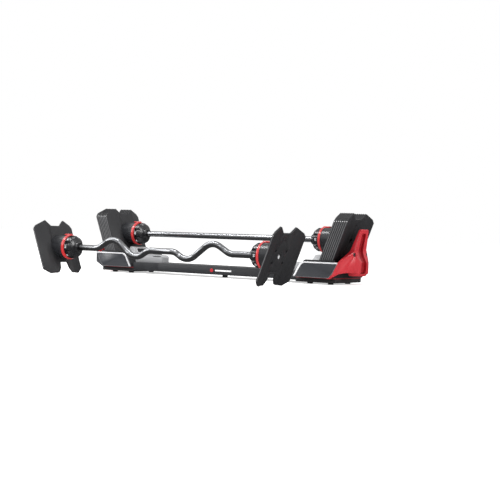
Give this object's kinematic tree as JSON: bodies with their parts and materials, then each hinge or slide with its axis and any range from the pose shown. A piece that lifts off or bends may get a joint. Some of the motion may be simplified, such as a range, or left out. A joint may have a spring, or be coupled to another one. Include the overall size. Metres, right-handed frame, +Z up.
{
  "type": "adjustable barbell set",
  "caption": "Adjustable weight set: straight bar docked on a two-cradle base with leaning plate stacks, and a curl bar on its end plates.",
  "frame": {"origin": "on the floor under the middle of the base, on the underside of the centre foot", "axes": "+X along the bars to the right, +Y to the back, +Z up"},
  "size_m": [1.505, 0.783, 0.3226],
  "materials": {
    "beam": "satin black powder coat",
    "badge": "red print",
    "trim": "bright satin",
    "pad": "matt",
    "foot": "matt",
    "dark_steel": "black oxide",
    "zinc": "zinc plated",
    "shaft": "dark chrome",
    "plinth": "fine grain",
    "cap_red": "satin red",
    "panel": "satin grey",
    "saddle": "satin light grey",
    "plate_rack": "fine grain",
    "weight_plate": "textured black coat",
    "collar": "satin black",
    "ring_red": "red",
    "dial": "satin black",
    "cam": "machined",
    "rod": "polished"
  },
  "bodies": {
    "base": {"crossbeam": "beam", "beam_badge": "badge", "panel_trims": "trim", "saddle_pads": "pad", "rubber_feet": "foot", "cap_screws": "dark_steel", "beam_bolts": "zinc", "left_plinth": "plinth", "left_end_cap": "cap_red", "left_front_panel": "panel", "left_rear_panel": "panel", "left_saddle": "saddle", "left_plate_rack": "plate_rack", "right_plinth": "plinth", "right_end_cap": "cap_red", "right_front_panel": "panel", "right_rear_panel": "panel", "right_saddle": "saddle", "right_plate_rack": "plate_rack"},
    "straight_bar": {"straight_shaft": "shaft", "straight_plate_screws": "dark_steel", "straight_left_collar": "collar", "straight_left_ring": "ring_red", "straight_left_end_plate": "weight_plate", "straight_right_collar": "collar", "straight_right_ring": "ring_red", "straight_right_end_plate": "weight_plate"},
    "straight_left_dial": {"straight_left_dial": "dial", "straight_left_cam_sleeve": "cam"},
    "straight_left_selector": {"straight_left_selector_rod": "rod"},
    "straight_right_dial": {"straight_right_dial": "dial", "straight_right_cam_sleeve": "cam"},
    "straight_right_selector": {"straight_right_selector_rod": "rod"},
    "curl_bar": {"curl_shaft": "shaft", "curl_plate_screws": "dark_steel", "curl_left_collar": "collar", "curl_left_ring": "ring_red", "curl_left_end_plate": "weight_plate", "curl_right_collar": "collar", "curl_right_ring": "ring_red", "curl_right_end_plate": "weight_plate"},
    "curl_left_dial": {"curl_left_dial": "dial", "curl_left_cam_sleeve": "cam"},
    "curl_left_selector": {"curl_left_selector_rod": "rod"},
    "curl_right_dial": {"curl_right_dial": "dial", "curl_right_cam_sleeve": "cam"},
    "curl_right_selector": {"curl_right_selector_rod": "rod"},
    "left_plate_1": {"left_plate_1": "weight_plate"},
    "left_plate_2": {"left_plate_2": "weight_plate"},
    "left_plate_3": {"left_plate_3": "weight_plate"},
    "left_plate_4": {"left_plate_4": "weight_plate"},
    "left_plate_5": {"left_plate_5": "weight_plate"},
    "left_plate_6": {"left_plate_6": "weight_plate"},
    "right_plate_1": {"right_plate_1": "weight_plate"},
    "right_plate_2": {"right_plate_2": "weight_plate"},
    "right_plate_3": {"right_plate_3": "weight_plate"},
    "right_plate_4": {"right_plate_4": "weight_plate"},
    "right_plate_5": {"right_plate_5": "weight_plate"},
    "right_plate_6": {"right_plate_6": "weight_plate"}
  },
  "joints": [
    {"name": "straight_bar_lift", "type": "slide", "parent": "base", "child": "straight_bar", "axis": [0, 0, 1], "range_m": [0, 0.35]},
    {"name": "straight_left_dial_turn", "type": "hinge", "parent": "straight_bar", "child": "straight_left_dial", "pos_m": [-0.5, 0, 0.19883], "axis": [1, 0, 0], "range_deg": [0, 270]},
    {"name": "straight_left_selector_slide", "type": "slide", "parent": "straight_bar", "child": "straight_left_selector", "axis": [-1, 0, 0], "range_m": [0, 0.0613]},
    {"name": "straight_right_dial_turn", "type": "hinge", "parent": "straight_bar", "child": "straight_right_dial", "pos_m": [0.5, 0, 0.19883], "axis": [1, 0, 0], "range_deg": [0, 270]},
    {"name": "straight_right_selector_slide", "type": "slide", "parent": "straight_bar", "child": "straight_right_selector", "axis": [1, 0, 0], "range_m": [0, 0.0613]},
    {"name": "curl_bar_lift", "type": "slide", "parent": "base", "child": "curl_bar", "axis": [0, 0, 1], "range_m": [0, 0.3]},
    {"name": "curl_left_dial_turn", "type": "hinge", "parent": "curl_bar", "child": "curl_left_dial", "pos_m": [-0.5, -0.507, 0.1253], "axis": [1, 0, 0], "range_deg": [0, 270]},
    {"name": "curl_left_selector_slide", "type": "slide", "parent": "curl_bar", "child": "curl_left_selector", "axis": [-1, 0, 0], "range_m": [0, 0.0613]},
    {"name": "curl_right_dial_turn", "type": "hinge", "parent": "curl_bar", "child": "curl_right_dial", "pos_m": [0.5, -0.507, 0.1253], "axis": [1, 0, 0], "range_deg": [0, 270]},
    {"name": "curl_right_selector_slide", "type": "slide", "parent": "curl_bar", "child": "curl_right_selector", "axis": [1, 0, 0], "range_m": [0, 0.0613]},
    {"name": "left_plate_1_lift", "type": "slide", "parent": "base", "child": "left_plate_1", "axis": [-0.3584, 0, 0.9336], "range_m": [0, 0.12]},
    {"name": "left_plate_2_lift", "type": "slide", "parent": "base", "child": "left_plate_2", "axis": [-0.3584, 0, 0.9336], "range_m": [0, 0.12]},
    {"name": "left_plate_3_lift", "type": "slide", "parent": "base", "child": "left_plate_3", "axis": [-0.3584, 0, 0.9336], "range_m": [0, 0.12]},
    {"name": "left_plate_4_lift", "type": "slide", "parent": "base", "child": "left_plate_4", "axis": [-0.3584, 0, 0.9336], "range_m": [0, 0.12]},
    {"name": "left_plate_5_lift", "type": "slide", "parent": "base", "child": "left_plate_5", "axis": [-0.3584, 0, 0.9336], "range_m": [0, 0.12]},
    {"name": "left_plate_6_lift", "type": "slide", "parent": "base", "child": "left_plate_6", "axis": [-0.3584, 0, 0.9336], "range_m": [0, 0.12]},
    {"name": "right_plate_1_lift", "type": "slide", "parent": "base", "child": "right_plate_1", "axis": [0.3584, 0, 0.9336], "range_m": [0, 0.12]},
    {"name": "right_plate_2_lift", "type": "slide", "parent": "base", "child": "right_plate_2", "axis": [0.3584, 0, 0.9336], "range_m": [0, 0.12]},
    {"name": "right_plate_3_lift", "type": "slide", "parent": "base", "child": "right_plate_3", "axis": [0.3584, 0, 0.9336], "range_m": [0, 0.12]},
    {"name": "right_plate_4_lift", "type": "slide", "parent": "base", "child": "right_plate_4", "axis": [0.3584, 0, 0.9336], "range_m": [0, 0.12]},
    {"name": "right_plate_5_lift", "type": "slide", "parent": "base", "child": "right_plate_5", "axis": [0.3584, 0, 0.9336], "range_m": [0, 0.12]},
    {"name": "right_plate_6_lift", "type": "slide", "parent": "base", "child": "right_plate_6", "axis": [0.3584, 0, 0.9336], "range_m": [0, 0.12]}
  ],
  "couplings": [
    {"joint": "straight_left_selector_slide", "follows": "straight_left_dial_turn", "m_per_rad": 0.012987},
    {"joint": "straight_right_selector_slide", "follows": "straight_right_dial_turn", "m_per_rad": 0.012987},
    {"joint": "curl_left_selector_slide", "follows": "curl_left_dial_turn", "m_per_rad": 0.012987},
    {"joint": "curl_right_selector_slide", "follows": "curl_right_dial_turn", "m_per_rad": 0.012987}
  ]
}
